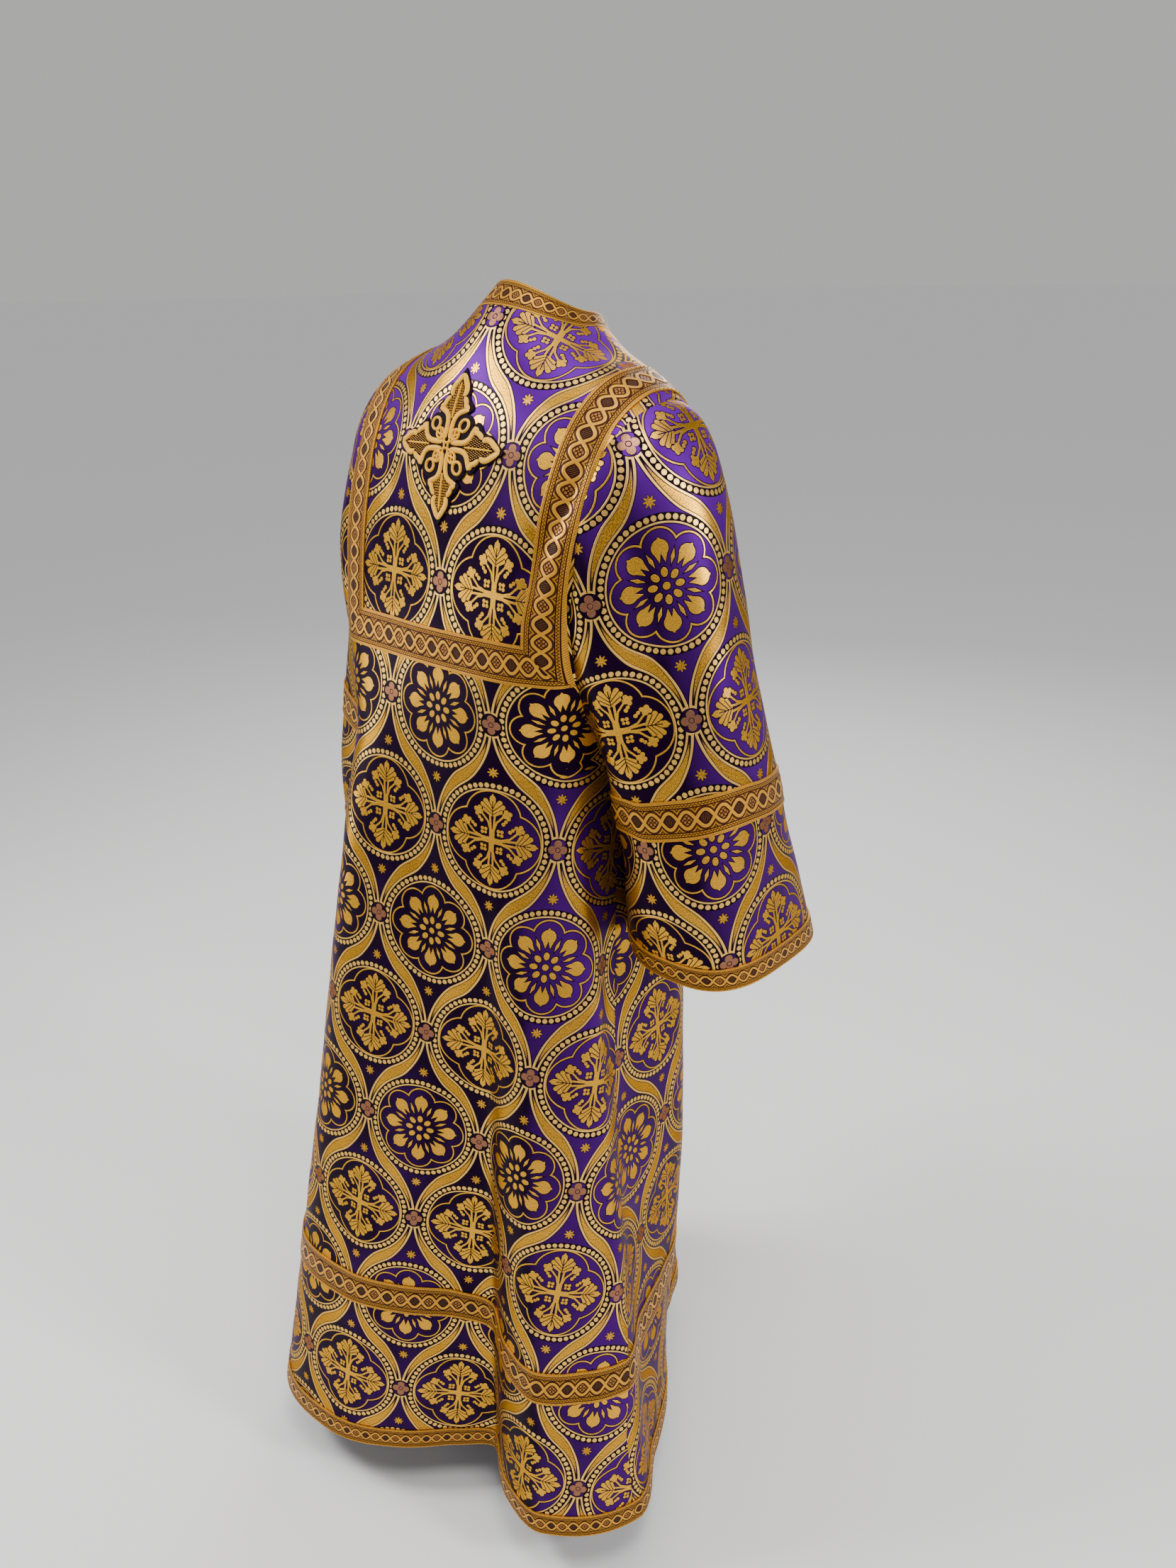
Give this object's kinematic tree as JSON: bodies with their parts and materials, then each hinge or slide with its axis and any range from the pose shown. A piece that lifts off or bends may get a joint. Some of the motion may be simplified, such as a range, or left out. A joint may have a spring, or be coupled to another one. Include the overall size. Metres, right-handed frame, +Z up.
{
  "type": "dalmatic",
  "caption": "Hollow worn dalmatic of purple and gold figured brocade, with galloon bands, a standing collar and an embroidered cross on the back.",
  "frame": {"origin": "middle of the shoulders at the height of the neck's base, where the wearer carries it", "axes": "+Z up, the front faces -Y, the wearer's left is +X"},
  "size_m": [0.6836, 0.5585, 1.4119],
  "materials": {
    "brocade": "satin ground with woven metallic gold figures",
    "galloon": "woven metallic gold band with dark figures",
    "cross_ground": "matt dark twill",
    "gold_thread": "padded gold satin stitch"
  },
  "bodies": {
    "root": {"body_back": "brocade", "body_front": "brocade", "sleeve_right": "brocade", "sleeve_left": "brocade", "collar": "galloon", "yoke_band_right": "galloon", "yoke_band_left": "galloon", "yoke_band_across_back": "galloon", "yoke_band_across_front": "galloon", "upper_hem_band_back": "galloon", "upper_hem_band_front": "galloon", "hem_band_back": "galloon", "hem_band_front": "galloon", "sleeve_band_right": "galloon", "sleeve_band_left": "galloon", "cuff_band_right": "galloon", "cuff_band_left": "galloon", "cross_ground": "cross_ground", "cross_gold": "gold_thread"}
  },
  "joints": []
}
